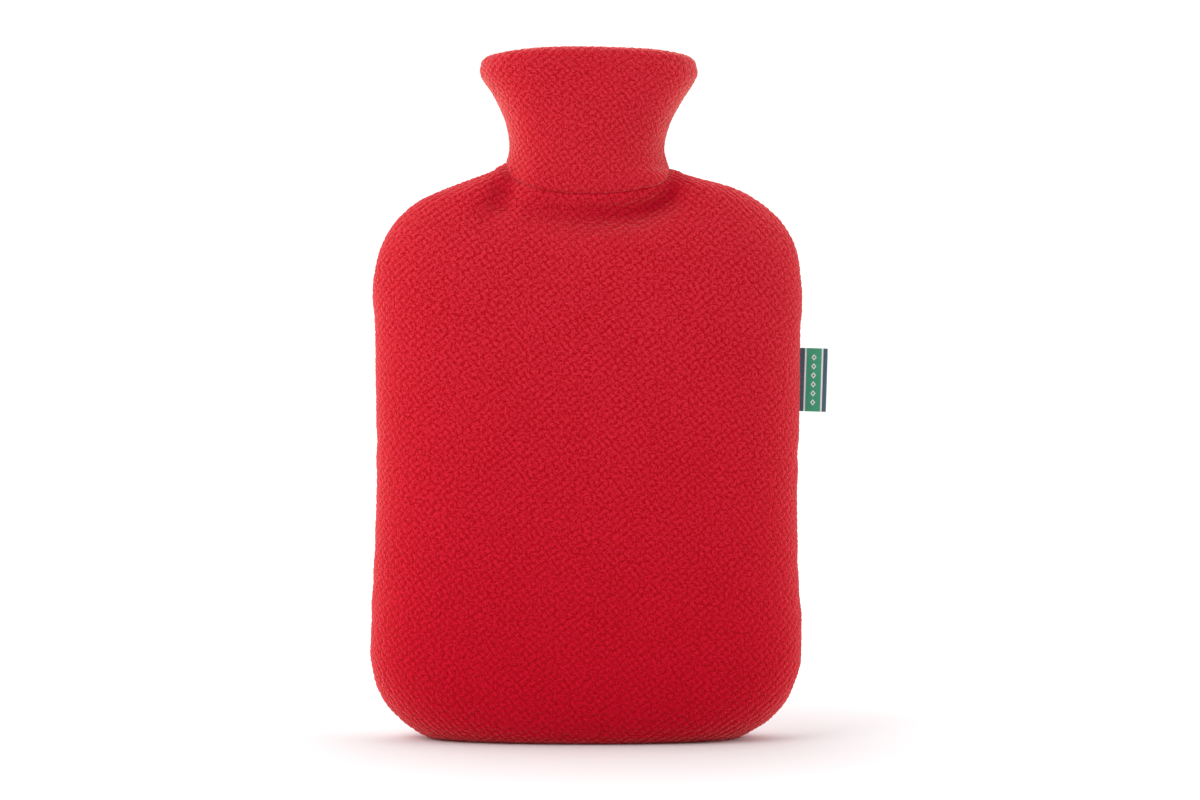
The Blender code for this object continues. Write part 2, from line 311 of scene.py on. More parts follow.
def skin(row, share, side, inset=0.0, lift=0.0):
    """Points of the skin in front of or behind the seams' plane. share runs from the left seam
    to the right one, inset moves the section inwards, level, and lift moves it up."""
    row, share = np.broadcast_arrays(np.asarray(row, float), share)
    turn = turn_at(side, row, share)
    along = np.abs(np.cos(turn)) ** (2 / read_column("boxy", row))
    x = np.where(turn > pi / 2, -(read_column("left", row) - inset) * along,
                 (read_column("right", row) - inset) * along)
    deep = np.maximum(read_column(side, row) - inset, 0)
    y = deep * np.abs(np.sin(turn)) ** (2 / DEPTH_POWER)
    height = read_column("height", row)
    y = y * (1 - hollowed(x, height, side))
    y = y + seam_gap(x, height) * np.clip(1 - y / SEAM_GAP_DEPTH, 0, 1)
    return np.stack([x, SEAM_Y - y if side == "front" else SEAM_Y + y, height + lift], -1)


def neckline_row(share, side, above=0.0):
    reach = np.cos(pi * share)
    middle, end = NECKLINE_MIDDLE[side], np.where(reach > 0, NECKLINE_LEFT, NECKLINE_RIGHT)
    return row_at_height(middle + (end - middle) * np.abs(reach) ** NECKLINE_POWER + above)


def neck_seam_normals(share, side):
    """Which way the cloth faces at the neck seam, between the collar's side and the panel's."""
    up, along = 3.0, 0.004  # how far away the points lie that it is measured from
    below, above = (skin(neckline_row(share, side, step), share, side) for step in (-up, up))
    left, right = (np.clip(share + step, 0, 1) for step in (-along, along))
    left, right = (skin(neckline_row(part, side), part, side) for part in (left, right))
    return unit(np.cross(right - left, above - below) * (1 if side == "front" else -1))


def turned_to_seam(normals, at_seam, away):
    """Normals that come round to the neck seam's own as they near it, so that the edges of
    both pieces are drawn in the same way."""
    near = fading(away, NECK_TURN)[..., None]
    return unit(normals * (1 - near) + at_seam * near)


def graded(length, step, edge_start=True, edge_end=True):
    """Shares from 0 to 1 along a length: even steps, with finer ones beside a cut edge. There
    is an even number of them, so that the cloth's other face can take every second one."""
    fine = [EDGE_STEP] * EDGE_STEPS
    ends = EDGE_STEP * EDGE_STEPS * (edge_start + edge_end)
    count = max(2, round((length - ends) / step))
    count += (count + EDGE_STEPS * (edge_start + edge_end)) % 2
    steps = fine * edge_start + [(length - ends) / count] * count + fine * edge_end
    shares = np.concatenate(([0], np.cumsum(steps)))
    return shares / shares[-1]


def soft_noise(u, v, cell, seed):
    """Smooth noise from -1 to 1 over the cloth."""
    wide, start = 64, 1000  # cells until it repeats, and the cell where the cloth begins
    knots = np.random.default_rng(seed).uniform(-1, 1, (wide, wide))
    x, y = u / cell + start, v / cell + start
    i, j = np.floor(x).astype(int), np.floor(y).astype(int)
    return between(knots, i % wide, j % wide, (i + 1) % wide, (j + 1) % wide,
                   eased(x - i), eased(y - j))


def grid_normals(grid):
    """Unit normals of a grid of points, by its rows and columns. A grid that runs from left to
    right as seen from outside, and upwards, gets normals that point out."""
    across, up = np.gradient(grid, axis=1), np.gradient(grid, axis=0)
    return unit(np.cross(across, up))


def walked(points, axis):
    """How far along the points each one is, from the first."""
    steps = np.linalg.norm(np.diff(points, axis=axis), axis=2)
    start = np.zeros_like(np.take(steps, [0], axis=axis))
    return np.concatenate((start, np.cumsum(steps, axis=axis)), axis=axis)


def spread(values, rows, columns, shape):
    """Values at chosen rows and columns of a grid, filled in over the whole of it."""
    across = np.array([np.interp(np.arange(shape[1]), columns, line) for line in values])
    return np.array([np.interp(np.arange(shape[0]), rows, line) for line in across.T]).T


def laid_flat(grid, rounds=900, coarse=4, give=0.13):
    """Each point's place, across and up, when the sheet lies flat with as little stretch as it
    can: the springs of a coarser grid settle to their own lengths, and give is how much of a
    spring's fault each round takes away at either end."""
    count = [1 + (n - 1) // coarse for n in grid.shape[:2]]
    rows, columns = (np.linspace(0, n - 1, c).astype(int)
                     for n, c in zip(grid.shape[:2], count))
    across, up = walked(grid, 1), walked(grid, 0)
    middle, level = grid.shape[1] // 2, grid.shape[0] // 2
    across = across - across[:, middle:middle + 1]
    up = up - up[level:level + 1] + up[level, middle]
    flat = np.stack([across, up], -1)[np.ix_(rows, columns)]
    solid = grid[np.ix_(rows, columns)]
    # pairs of points that a spring joins: along a row, up a column, and on both diagonals
    ends = [(np.s_[:, :-1], np.s_[:, 1:]), (np.s_[:-1], np.s_[1:]),
            (np.s_[:-1, :-1], np.s_[1:, 1:]), (np.s_[:-1, 1:], np.s_[1:, :-1])]
    lengths = [np.linalg.norm(solid[b] - solid[a], axis=-1) for a, b in ends]
    for _ in range(rounds):
        move = np.zeros_like(flat)
        for (a, b), length in zip(ends, lengths):
            reach = flat[b] - flat[a]
            now = np.maximum(np.linalg.norm(reach, axis=-1), 1e-6)
            pull = reach * ((now - length) / now)[..., None] * give
            move[a] += pull
            move[b] -= pull
        flat += move
    return tuple(spread(flat[..., i], rows, columns, grid.shape[:2]) for i in (0, 1))


# ---- the fleece's look

NUB_SLANT_DEG = -38.0  # how the nubs' rows are turned
NUB_ROW_SHARE = 0.8  # the pitch one way, as a share of the pitch the other way
NUB_SCATTER = 0.3
NUB_FOOT, NUB_TOP = 0.7, 0.05  # in pitches from a nub's middle
STROKE_WAVES = 2.5  # in each curl, which is this many pitches long
STROKE_PITCHES = 1.15
STROKE_MIX = 0.5
FIBRES_PER_PITCH = 2.85
FIBRE_MIX = 1.4
NUB_MIX = 0.3  # how much of the pile's height the nubs are, beside its curls
PATCHES_PER_MM = 0.04  # slow unevenness of the colour
PATCH_MIX = 0.24
PAINTED_SHADE_FULL_UP_TO, PAINTED_SHADE_GONE_FROM = 0.01, 0.24  # heights in metres: below the first the painted shade, deeper and darker red, is full, and above the second it is gone
HOLLOW_SHADE_GAIN = 3.0  # how quickly the hollows' painted shade comes in
TOPS_SMOOTHER = 0.08


def fill(tree, node, inputs):
    """Gives a node its inputs, by name or number, as values or as sockets to link."""
    for key, value in inputs.items():
        if isinstance(value, bpy.types.NodeSocket):
            tree.links.new(value, node.inputs[key])
        else:
            node.inputs[key].default_value = value


def add(tree, kind, inputs=None, **settings):
    """A new node with its settings and inputs."""
    node = tree.nodes.new(kind)
    for name, value in settings.items():
        setattr(node, name, value)
    fill(tree, node, inputs or {})
    return node


def calc(tree, operation, *values, clamp=False):
    node = add(tree, "ShaderNodeMath", dict(enumerate(values)), operation=operation)
    node.use_clamp = clamp
    return node.outputs[0]


def ramp(tree, value, start, end, top=1.0, soft=False):
    """From 0 where a value is at its start to top where it is at its end, and level outside."""
    return add(tree, "ShaderNodeMapRange", {0: value, 1: start, 2: end, 4: top},
               interpolation_type="SMOOTHSTEP" if soft else "LINEAR").outputs[0]


def noise(tree, cloth, per_mm, detail=2.0, roughness=0.5):
    return add(tree, "ShaderNodeTexNoise",
               {"Vector": cloth, "Scale": per_mm, "Detail": detail,
                "Roughness": roughness}).outputs["Fac"]


def nub_field(tree, cloth, pitch):
    """How high the fleece's nubs stand, from 0 between them to 1 on top, in slanted rows. The
    same nodes serve the mesh and the material, so that the colours sit on the shapes."""
    slanted = add(tree, "ShaderNodeVectorRotate",
                  {"Vector": cloth, "Angle": radians(NUB_SLANT_DEG)}, rotation_type="Z_AXIS")
    scaled = add(tree, "ShaderNodeVectorMath",
                 {0: slanted.outputs[0], 1: (1 / pitch, NUB_ROW_SHARE / pitch, 0.0)},
                 operation="MULTIPLY")
    cells = add(tree, "ShaderNodeTexVoronoi",
                {"Vector": scaled.outputs[0], "Scale": 1.0, "Randomness": NUB_SCATTER},
                voronoi_dimensions="2D")
    return ramp(tree, cells.outputs["Distance"], NUB_FOOT, NUB_TOP, soft=True)


def curl_field(tree, cloth, pitch):
    """The finer curls of the fleece, about 0: loose fibres, and short strokes in all
    directions."""
    wave = STROKE_WAVES * STROKE_PITCHES * pitch
    squeezed = add(tree, "ShaderNodeVectorMath", {0: cloth, 1: (1 / wave, 1 / wave, 0.0)},
                   operation="MULTIPLY")
    strokes = add(tree, "ShaderNodeTexGabor",
                  {"Vector": squeezed.outputs[0], "Scale": 1.0, "Frequency": STROKE_WAVES,
                   "Anisotropy": 0.0}, gabor_type="2D")
    fibres = noise(tree, cloth, FIBRES_PER_PITCH / pitch, detail=0.6, roughness=0.6)
    curls = calc(tree, "MULTIPLY_ADD", strokes.outputs["Value"], STROKE_MIX,
                 -(STROKE_MIX + FIBRE_MIX) / 2)
    return calc(tree, "MULTIPLY_ADD", fibres, FIBRE_MIX, curls)


def read_nubs(piece, pitch):
    """The nub field at each of a piece's points, through Geometry Nodes."""
    tree = bpy.data.node_groups.new("nub reader", "GeometryNodeTree")
    for way in ("INPUT", "OUTPUT"):
        tree.interface.new_socket("Geometry", in_out=way, socket_type="NodeSocketGeometry")
    cloth = add(tree, "GeometryNodeInputNamedAttribute", {"Name": "cloth"},
                data_type="FLOAT_VECTOR").outputs["Attribute"]
    store = add(tree, "GeometryNodeStoreNamedAttribute",
                {"Geometry": add(tree, "NodeGroupInput").outputs[0], "Name": "nub",
                 "Value": nub_field(tree, cloth, pitch)})
    add(tree, "NodeGroupOutput", {0: store.outputs["Geometry"]})
    reader = piece.modifiers.new("nub reader", "NODES")
    reader.node_group = tree
    read = piece.evaluated_get(bpy.context.evaluated_depsgraph_get())
    found = np.empty(len(read.data.vertices), np.float32)
    read.data.attributes["nub"].data.foreach_get("value", found)
    piece.modifiers.remove(reader)
    bpy.data.node_groups.remove(tree)
    return found


def new_material(name):
    """A new material with its node tree and shader."""
    material = bpy.data.materials.new(name)
    material.use_nodes = True
    return material, material.node_tree, material.node_tree.nodes["Principled BSDF"]


def attribute(tree, name, output):
    return add(tree, "ShaderNodeAttribute", attribute_name=name,
               attribute_type="GEOMETRY").outputs[output]


def mixed(tree, factor, under, over, blend="MIX"):
    """Colour over laid on colour under by a factor. Both are sockets or RGB values."""
    under, over = (colour if isinstance(colour, bpy.types.NodeSocket) else (*colour, 1.0)
                   for colour in (under, over))
    return add(tree, "ShaderNodeMix", {0: factor, 6: under, 7: over}, data_type="RGBA",
               blend_type=blend).outputs[2]


def fleece_material(name, settings, pitch, sheen_tint):
    """Nubby fleece: dark pits, partly painted shade, pale fuzzy tips, partly a painted sheen,
    and a soft sheen towards the edges.
    """
    material, tree, shader = new_material(name)
    cloth = attribute(tree, "cloth", "Vector")
    nubs = nub_field(tree, cloth, pitch)
    curls = curl_field(tree, cloth, pitch)
    patches = noise(tree, cloth, PATCHES_PER_MM)
    pile = calc(tree, "MULTIPLY_ADD", nubs, NUB_MIX, calc(tree, "SUBTRACT", curls, NUB_MIX / 2))
    # the tone follows the nubs' height as well as random curls and patches: its dark pits are
    # partly painted shade, its pale tips partly a painted sheen
    grain_and_painted_shade = calc(tree, "MULTIPLY_ADD", pile, settings.contrast, 0.5 - PATCH_MIX / 2)
    grain_and_painted_shade = calc(tree, "MULTIPLY_ADD", patches, PATCH_MIX, grain_and_painted_shade, clamp=True)
    colour = mixed(tree, grain_and_painted_shade, settings.pit_with_painted_shade, settings.tip)
    # painted shade: the colour turns deeper and darker red towards the base, and none is left at
    # the shoulders and above
    place = add(tree, "ShaderNodeTexCoord").outputs["Object"]
    height = add(tree, "ShaderNodeSeparateXYZ", {0: place}).outputs[2]
    hue = mixed(tree, ramp(tree, height, PAINTED_SHADE_FULL_UP_TO, PAINTED_SHADE_GONE_FROM), settings.low_painted_shade,
                settings.high_painted_shade)
    # painted shade in the hollows below the collar and along the neck seam
    hollow = calc(tree, "MULTIPLY", attribute(tree, "hollow", "Fac"), HOLLOW_SHADE_GAIN)
    hue = mixed(tree, hollow, hue, settings.hollow_painted_shade)
    colour = mixed(tree, 1.0, colour, hue, "MULTIPLY")
    bump = add(tree, "ShaderNodeBump",
               {"Strength": 0.8, "Distance": settings.bump, "Height": pile})
    fill(tree, shader, {
        "Base Color": colour, "Roughness": calc(tree, "MULTIPLY_ADD", nubs, -TOPS_SMOOTHER, 1.0),
        "Specular IOR Level": 0.03, "Sheen Weight": settings.sheen,
        "Sheen Roughness": settings.sheen_roughness, "Sheen Tint": (*sheen_tint, 1.0),
        "Normal": bump.outputs["Normal"]})
    return material


# ---- sheets of cloth


def sheet_faces(rows, columns):
    """Faces of a sheet with a fine face and a back that has every second row and column. The
    fine face's points come first, and the two are joined round their edges."""
    fine = np.arange(rows * columns).reshape(rows, columns)
    half = np.arange(((rows + 1) // 2) * ((columns + 1) // 2)).reshape((rows + 1) // 2, -1)
    half = half + rows * columns

    def quads(ids):
        return np.stack([ids[:-1, :-1], ids[:-1, 1:], ids[1:, 1:], ids[1:, :-1]], -1)

    def border(ids):
        return np.concatenate([ids[0], ids[1:, -1], ids[-1, -2::-1], ids[-2:0:-1, 0]])

    outer = quads(fine).reshape(-1, 4)
    inner = quads(half)[..., ::-1].reshape(-1, 4)
    rim, lip = border(fine), border(half)
    edge = []
    for i in range(len(lip)):
        a, b, c = rim[2 * i], rim[2 * i + 1], rim[(2 * i + 2) % len(rim)]
        p, q = lip[i], lip[(i + 1) % len(lip)]
        edge += [(b, a, p), (b, p, q), (c, b, q)]
    return outer, inner, np.array(edge)


def put_in_scene(name, data):
    added = bpy.data.objects.new(name, data)
    bpy.context.scene.collection.objects.link(added)
    return added


def make_sheet(name, grid, inwards, places, start):
    """A closed mesh of cloth. grid and inwards are the points of its face and how far and
    which way its back lies, in millimetres. places are the cloth coordinates of the face."""
    back = (grid + inwards)[::2, ::2]
    points = np.concatenate([grid.reshape(-1, 3), back.reshape(-1, 3)])
    outer, inner, edge = sheet_faces(*grid.shape[:2])
    mesh = bpy.data.meshes.new(name)
    mesh.vertices.add(len(points))
    mesh.vertices.foreach_set("co", (points * MM).ravel())
    corners = np.concatenate([outer.ravel(), inner.ravel(), edge.ravel()])
    sizes = np.concatenate([np.full(len(outer) + len(inner), 4), np.full(len(edge), 3)])
    mesh.loops.add(len(corners))
    mesh.loops.foreach_set("vertex_index", corners.astype(np.int32))
    mesh.polygons.add(len(sizes))
    mesh.polygons.foreach_set("loop_start", (np.cumsum(sizes) - sizes).astype(np.int32))
    mesh.update(calc_edges=True)
    across, up = (np.concatenate([p.ravel(), p[::2, ::2].ravel()]) for p in places)
    cloth = np.stack([across + start, up + start, np.zeros_like(up)], -1)
    held = mesh.attributes.new("cloth", "FLOAT_VECTOR", "POINT")
    held.data.foreach_set("vector", cloth.astype(np.float32).ravel())
    lay_out(mesh, across, up, corners, len(outer) * 4)
    mesh.shade_smooth()
    mesh.set_sharp_from_angle(angle=radians(SHARP_EDGE_DEG))
    return put_in_scene(name, mesh)


def lay_out(mesh, across, up, corners, face_corners):
    """A flat layout of both sides of the cloth: its face large, and its back small beside
    it, with the cut edges."""
    margin, face_wide, back_from, back_wide = 0.01, 0.76, 0.775, 0.22
    u, v = across - across.min(), up - up.min()
    large = (1 - 2 * margin) / max(v.max(), u.max() / face_wide)
    small = back_wide / u.max()
    face = np.stack([u * large + margin, v * large + margin], -1)
    back = np.stack([u * small + back_from, v * small + margin], -1)
    laid = np.concatenate([face[corners[:face_corners]], back[corners[face_corners:]]])
    mesh.uv_layers.new(name="OFBake").data.foreach_set("uv", laid.astype(np.float32).ravel())


def raise_nubs(piece, normals, pitch, height, away):
    """Moves the face's points along their normals by the nub field, less at a cut edge."""
    count = away.size
    nubs = read_nubs(piece, pitch)[:count] - NUB_MIDDLE
    mesh = piece.data
    points = np.empty(len(mesh.vertices) * 3)
    mesh.vertices.foreach_get("co", points)
    points = points.reshape(-1, 3)
    room = np.clip(EDGE_NUBS + away / EDGE_NUBS_WIDTH, 0, 1)
    moved = nubs[:, None] * height * room.reshape(-1, 1) * normals.reshape(-1, 3)
    points[:count] += moved * MM
    points[:, 2] = np.maximum(points[:, 2], 0)
    mesh.vertices.foreach_set("co", points.ravel())
    mesh.update()


def mark_painted_shade(piece, hollow, from_neck):
    """Keeps how hollow each point of the face is, as a mask of painted shade for the material:
    the neck seam's groove gets painted shade too.
    """
    seam = NECK_SEAM_SHADE * fading(from_neck, NECK_SEAM_SHADE_SPREAD)
    hollow = np.maximum(hollow, seam)
    held = np.zeros(len(piece.data.vertices), np.float32)
    held[:hollow.size] = hollow.ravel()
    piece.data.attributes.new("hollow", "FLOAT", "POINT").data.foreach_set("value", held)


def pull_of_seams(away, from_neck, across, up, seed):
    """How far in the cloth lies beside its seams: the rolled edge, the thread's pull, and
    puckers that slant away from the seam, but not from the neck's."""
    pull = EDGE_ROLL * np.clip(1 - away / EDGE_ROLL_WIDTH, 0, 1) ** 2
    pull += SEAM_PULL * fading(away, SEAM_PULL_SPREAD)
    slanted = up + PUCKER_SLANT * away * np.sign(across)
    pucker = soft_noise(slanted, away * PUCKER_STRETCH, PUCKER_LENGTH, seed)
    pucker *= np.clip(from_neck / PUCKER_FROM_NECK, 0, 1)
    return pull + PUCKER_HEIGHT * pucker * fading(away, PUCKER_SPREAD)


# A sheet before it is sewn: its points on the form and their normals, their places across
# and up when it lies flat, and how far they are from a sewn edge and from the neck seam
Cloth = namedtuple("Cloth", "grid normals places away from_neck")


def sew(name, cloth, raised, hollow, pitch, height, seed):
    """A sheet of fleece: raised off its form, drawn in by its seams, and nubby."""
    grid, normals, (across, up), away, from_neck = cloth
    pull = pull_of_seams(away, from_neck, across, up, seed + 1)
    face = grid + normals * (raised - pull)[..., None]
    face[..., 2] = np.maximum(face[..., 2], 0)
    inwards = grid - normals * FLEECE_THICK - face
    piece = make_sheet(name, face, inwards, (across, up), CLOTH_APART * seed)
    mark_painted_shade(piece, hollow, from_neck)
    raise_nubs(piece, normals, pitch, height, away)
    return piece


def finish_piece(piece, node, material):
    piece.data.materials.append(material)
    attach(piece, "root")
    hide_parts(node)


def panel_rows(side):
    """The rows of a panel's grid: across half the base, up to the shoulders, and on to the
    neckline, as row numbers with one for each column. The columns' shares come with them."""
    base = -1 + graded(BASE_DEPTH, BASE_STEP, edge_end=False)[:-1]
    fine = np.linspace(0, SHOULDER_ROW, 1200)
    seam = skin(fine, 0.0, side)
    so_far = walked(seam[:, None], 0)[:, 0]
    shoulder = graded(SHOULDER_TO_NECKLINE, PANEL_STEP, edge_start=False)
    count = round(so_far[-1] / PANEL_STEP)
    count += (len(base) + count + len(shoulder) + 1) % 2
    level = np.interp(np.linspace(0, so_far[-1], count + 1), so_far, fine)[:-1]
    shares = graded(PANEL_GIRTH, PANEL_STEP)
    if side == "back":
        shares = shares[::-1]
    top = neckline_row(shares, side)
    rows = [np.full(len(shares), row) for row in (*base, *level)]
    rows += [SHOULDER_ROW + (top - SHOULDER_ROW) * part for part in shoulder]
    return np.array(rows), shares


def make_panel(side, settings, seed):
    """The front or back panel, from the base seam to the neckline."""
    rows, shares = panel_rows(side)
    grid = skin(rows, shares, side)
    places = laid_flat(grid)
    along, climbed = walked(grid, 1), walked(grid, 0)
    from_neck = climbed[-1:] - climbed
    away = np.minimum(np.minimum(along, along[:, -1:] - along),
                      np.minimum(climbed, from_neck))
    at_seam = neck_seam_normals(shares, side)
    normals = turned_to_seam(grid_normals(grid), at_seam[None], from_neck)
    sag = SAG_HEIGHT * soft_noise(*places, SAG_LENGTH, seed)
    sag *= np.clip(away / SAG_FROM_EDGE, 0, 1)
    sag *= np.clip(grid[..., 2] / SAG_FROM_FLOOR, 0, 1)
    ridge = NECK_RIDGE * fading(from_neck - NECK_RIDGE_BELOW, NECK_RIDGE_SPREAD)
    # how hollow the skin is, kept as a mask of painted shade
    hollow = hollowed(grid[..., 0], grid[..., 2], side)
    cloth = Cloth(grid, normals, places, away, from_neck)
    return sew(side + "_fleece", cloth, sag + ridge, hollow, settings.pitch / MM,
               settings.height / MM, seed)


def make_collar(settings, seed):
    """The doubled collar, a strip closed with a seam at the left."""
    columns = graded(COLLAR_GIRTH, COLLAR_STEP)
    on_front = columns < 0.5
    shares = np.where(on_front, columns * 2, 2 - columns * 2)
    seams, hems = (
        np.where(on_front, neckline_row(shares, "front", above),
                 neckline_row(shares, "back", above))
        for above in (NECK_GAP, COLLAR_HEM_ABOVE_SEAM)
    )
    dips = RIM_DIP * np.abs(np.cos(2 * pi * columns)) ** RIM_DIP_POWER
    level, fold = np.zeros_like(seams), COLLAR_FOLD_RADIUS
    parts = []  # for each row of the grid: its places in SECTIONS, its insets and its lifts
    for share in graded(COLLAR_HEIGHT, COLLAR_STEP, edge_end=False):
        parts.append((seams + (RIM_ROW - seams) * share, level, -dips * share**2))
    for bend in np.linspace(0, pi, COLLAR_FOLD_POINTS)[1:-1]:
        parts.append((level + RIM_ROW, level + fold * (1 - np.cos(bend)),
                      fold * np.sin(bend) - dips))
    for share in np.linspace(0, 1, COLLAR_INNER_ROWS + len(parts) % 2):
        loosened = (1 - share) ** 2
        inset = COLLAR_NECK_THICK + (2 * fold - COLLAR_NECK_THICK) * loosened
        parts.append((RIM_ROW + (hems - RIM_ROW) * share, level + inset, -dips * loosened))
    rows, insets, lifts = np.swapaxes(parts[:len(parts) - 1 + len(parts) % 2], 0, 1)
    grid = np.where(on_front[:, None], skin(rows, shares, "front", insets, lifts),
                    skin(rows, shares, "back", insets, lifts))
    places = laid_flat(grid)
    along, climbed = walked(grid, 1), walked(grid, 0)
    away = np.minimum(np.minimum(along, along[:, -1:] - along), climbed)
    at_seam = np.where(on_front[:, None], neck_seam_normals(shares, "front"),
                       neck_seam_normals(shares, "back"))
    normals = turned_to_seam(grid_normals(grid), at_seam[None], climbed)
    sag = soft_noise(*places, COLLAR_SAG_SHARE * SAG_LENGTH, seed)
    sag *= COLLAR_SAG_SHARE * SAG_HEIGHT * np.clip(away / COLLAR_SAG_FROM_EDGE, 0, 1)
    cloth = Cloth(grid, normals, places, away, climbed)
    return sew("collar_fleece", cloth, sag, np.zeros(climbed.shape),
               settings.collar_pitch / MM, settings.collar_height / MM, seed)


# ---- the label

LINE_HALF = 0.4
DIAMOND_HALF_WIDTH = 1.25
DIAMOND_HALF_HEIGHT = 1.55
DIAMOND_OPEN = 0.52  # share of a diamond's size that its hollow middle takes
DIAMONDS_WITHIN = 13.2  # of the middle, up and down
RIB_SHADE, THREAD_SHADE, DARKEST = 0.22, 0.25, 0.70
WOVEN_RELIEF, THREAD_RELIEF = 0.8, 0.3  # against the ribs' own


def label_grid():
    """The middle of the ribbon's thickness, from one tail, round the fold and back to the
    other, and which way is out of it there."""
    radius = (RIBBON_THICK + RIBBON_GAP) / 2
    fold_x = LABEL_TIP_X - radius - RIBBON_THICK / 2
    run = np.linspace(LABEL_TAIL_X, fold_x, LABEL_RUN_POINTS)
    bends = np.linspace(0, pi, LABEL_FOLD_POINTS)[1:-1]
    x = np.concatenate([run, fold_x + radius * np.sin(bends), run[::-1]])
    y = np.concatenate([-radius + 0 * run, -radius * np.cos(bends), radius + 0 * run])
    count = len(x) - 1 + len(x) % 2
    x, y = x[:count], y[:count]
    heights = np.linspace(-LABEL_HEIGHT / 2, LABEL_HEIGHT / 2, LABEL_ROWS)
    line = np.stack([x, y, 0 * x], -1)
    tangent = unit(np.gradient(line, axis=0))
    out = np.stack([tangent[:, 1], -tangent[:, 0], 0 * x], -1)
    middle = np.broadcast_to(line, (len(heights), *line.shape)).copy()
    middle[..., 2] = heights[:, None]
    return middle, np.broadcast_to(out, middle.shape)


def make_label():
    """The folded ribbon. Its free end waves a little, and its corners curl back."""
    middle, out = label_grid()
    face = middle + out * RIBBON_THICK / 2
    across, up = laid_flat(face)
    free = np.clip((middle[..., 0] - LABEL_FREE_X) / LABEL_FREE_LENGTH, 0, 1)
    curl = LABEL_CURL * free**2 * (middle[..., 2] / (LABEL_HEIGHT / 2)) ** 4
    wave = LABEL_WAVE * free * np.sin(middle[..., 2] * LABEL_WAVE_TURN + LABEL_WAVE_START)
    shift = (curl + wave)[..., None] * np.array([0.0, 1.0, 0.0])
    lean = Matrix.Rotation(radians(LABEL_LEAN_DEG), 4, "Y")
    root = Matrix.Translation((LABEL_TAIL_X, SEAM_Y, LABEL_MID_HEIGHT))
    place = np.array(root @ lean @ Matrix.Translation((-LABEL_TAIL_X, 0, 0)))
    turn, move = place[:3, :3], place[:3, 3]
    inwards = -out * RIBBON_THICK @ turn.T
    face = (face + shift) @ turn.T + move
    return make_sheet("label_ribbon", face, inwards, (across, up - LABEL_HEIGHT / 2), 0.0)


def band(tree, value, low, high, soft):
    """1 where a value lies between two others, 0 outside them, with soft ends."""
    return calc(tree, "MULTIPLY", ramp(tree, value, low - soft, low + soft),
                ramp(tree, value, high + soft, high - soft))


def ribbon_material(settings):
    """Woven ribbon: a slate ground, a green band between pale lines, and a row of diamonds."""
    material, tree, shader = new_material("woven ribbon")
    cloth = attribute(tree, "cloth", "Vector")
    split = add(tree, "ShaderNodeSeparateXYZ", {0: cloth})
    along = calc(tree, "ABSOLUTE", split.outputs[0])  # from the fold
    height = split.outputs[1]
    ribs = add(tree, "ShaderNodeTexWave",
               {"Vector": cloth, "Scale": 0.55, "Distortion": 0.6, "Detail": 1.0},
               wave_type="BANDS", bands_direction="Y").outputs["Fac"]
    threads = noise(tree, cloth, per_mm=2.6)
    start, end = settings.band_start / MM, settings.band_end / MM
    pitch = settings.diamond_pitch / MM
    green = band(tree, along, start, end, soft=0.12)
    lines = [band(tree, along, place - LINE_HALF, place + LINE_HALF, soft=0.1)
             for place in (start, end)]
    aside = calc(tree, "ABSOLUTE", calc(tree, "SUBTRACT", along, (start + end) / 2))
    # ten whole pitches keep the height above 0, and the half puts six diamonds about the middle
    cell = calc(tree, "PINGPONG", calc(tree, "ADD", height, pitch * 10.5), pitch / 2)
    reach = calc(tree, "ADD", calc(tree, "DIVIDE", aside, DIAMOND_HALF_WIDTH),
                 calc(tree, "DIVIDE", cell, DIAMOND_HALF_HEIGHT))
    diamond = calc(tree, "MULTIPLY", band(tree, reach, DIAMOND_OPEN, 1.0, soft=0.09),
                   band(tree, height, -DIAMONDS_WITHIN, DIAMONDS_WITHIN, soft=0.2))
    woven = calc(tree, "MAXIMUM", calc(tree, "MAXIMUM", *lines), diamond)
    colour = mixed(tree, green, settings.ground, settings.green)
    colour = mixed(tree, woven, colour, settings.pale)
    shade = calc(tree, "MULTIPLY_ADD", ribs, RIB_SHADE, DARKEST)
    shade = calc(tree, "MULTIPLY_ADD", threads, THREAD_SHADE, shade)
    grey = add(tree, "ShaderNodeCombineColor", {0: shade, 1: shade, 2: shade})
    colour = mixed(tree, 1.0, colour, grey.outputs[0], "MULTIPLY")
    raised = calc(tree, "MULTIPLY_ADD", threads, THREAD_RELIEF, ribs)
    raised = calc(tree, "MULTIPLY_ADD", woven, WOVEN_RELIEF, raised)
    bump = add(tree, "ShaderNodeBump",
               {"Strength": 0.5, "Distance": 0.12 * MM, "Height": raised})
    fill(tree, shader, {
        "Base Color": colour, "Roughness": calc(tree, "MULTIPLY_ADD", threads, 0.2, 0.45),
        "Specular IOR Level": 0.35, "Sheen Weight": 0.15, "Normal": bump.outputs["Normal"]})
    return material


# ---- settings


def colour_property(name, description, default):
    return FloatVectorProperty(name=name, description=description, default=default,
                               subtype="COLOR", size=3, min=0.0, max=1.0)


def millimetres(name, description, default, least, most):
    """A length, given here in millimetres."""
    return FloatProperty(name=name, description=description, default=default * MM,
                         min=least * MM, max=most * MM, precision=5, unit="LENGTH")


def share_property(name, description, default):
    return FloatProperty(name=name, description=description, default=default, min=0.0,
                         max=1.0, subtype="FACTOR")


def brightness(name, default):
    return FloatProperty(name=name, description="How much brighter the surround is there",
                         default=default, min=0.0, max=10.0)


